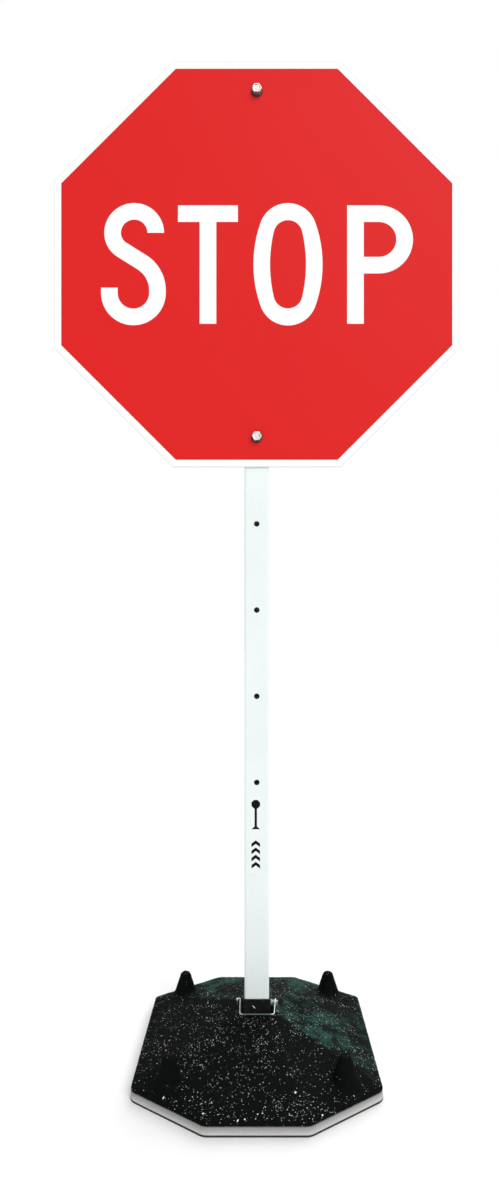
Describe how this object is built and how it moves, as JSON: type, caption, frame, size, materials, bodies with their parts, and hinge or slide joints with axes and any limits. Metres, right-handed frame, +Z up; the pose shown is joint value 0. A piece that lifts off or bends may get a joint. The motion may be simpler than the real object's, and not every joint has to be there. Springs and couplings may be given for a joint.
{
  "type": "portable stop sign on post with base",
  "caption": "Octagonal red stop sign bolted to a white square post that stands in a faceted rubber base, held by a lock pin with a wire bail.",
  "frame": {"origin": "centre of the base's footprint, on the ground", "axes": "+Z up along the post, the sign faces -Y, +X is to the right seen from the front"},
  "size_m": [0.6096, 0.382, 1.4968],
  "materials": {
    "rubber_crumb": "moulded recycled crumb rubber, coarse, with pale flecks",
    "sole_grey": "matt pale grey moulded rubber",
    "sheet_black": "matt ribbed rubber sheet",
    "socket_black": "black powder coat over steel",
    "galvanised_plate": "hot-dip galvanised, dull",
    "zinc_hardware": "bright zinc plate",
    "spring_wire": "drawn spring wire, zinc plated",
    "post_white": "cool white powder coat, satin",
    "plastic_black": "moulded black polyethylene",
    "nylon_ring": "nylon locking ring",
    "label_print": "white vinyl sticker with a printed arrow",
    "blank_aluminium": "mill-rolled sheet, satin",
    "sheeting_white": "white retroreflective sheeting with a fine cell pattern",
    "film_red": "transparent red overlay film over the white sheeting"
  },
  "bodies": {
    "root": {"rubber_base": "rubber_crumb", "edge_sole": "sole_grey", "non_slip_sheet": "sheet_black", "anchor_plate": "galvanised_plate", "anchor_screws": "zinc_hardware", "anchor_washers": "zinc_hardware", "socket_tube": "socket_black", "post_tube": "post_white", "post_cap": "plastic_black", "foot_plug": "plastic_black", "orientation_label": "label_print", "sign_blank": "blank_aluminium", "white_sheeting": "sheeting_white", "red_film": "film_red", "film_washers": "plastic_black", "face_washers": "zinc_hardware", "sign_bolts": "zinc_hardware", "back_washers": "zinc_hardware", "lock_nuts": "zinc_hardware", "nut_inserts": "nylon_ring"},
    "lock_pin": {"lock_pin": "zinc_hardware"},
    "wire_bail": {"wire_bail": "spring_wire"}
  },
  "joints": [
    {"name": "pin_turn", "type": "hinge", "parent": "root", "child": "lock_pin", "pos_m": [0, 0, 0.071], "axis": [-1, 0, 0], "range_deg": [0, 51]},
    {"name": "bail_swing", "type": "hinge", "parent": "lock_pin", "child": "wire_bail", "pos_m": [0.0285, 0, 0.071], "axis": [0, 0, 1], "range_deg": [0, 110]}
  ]
}
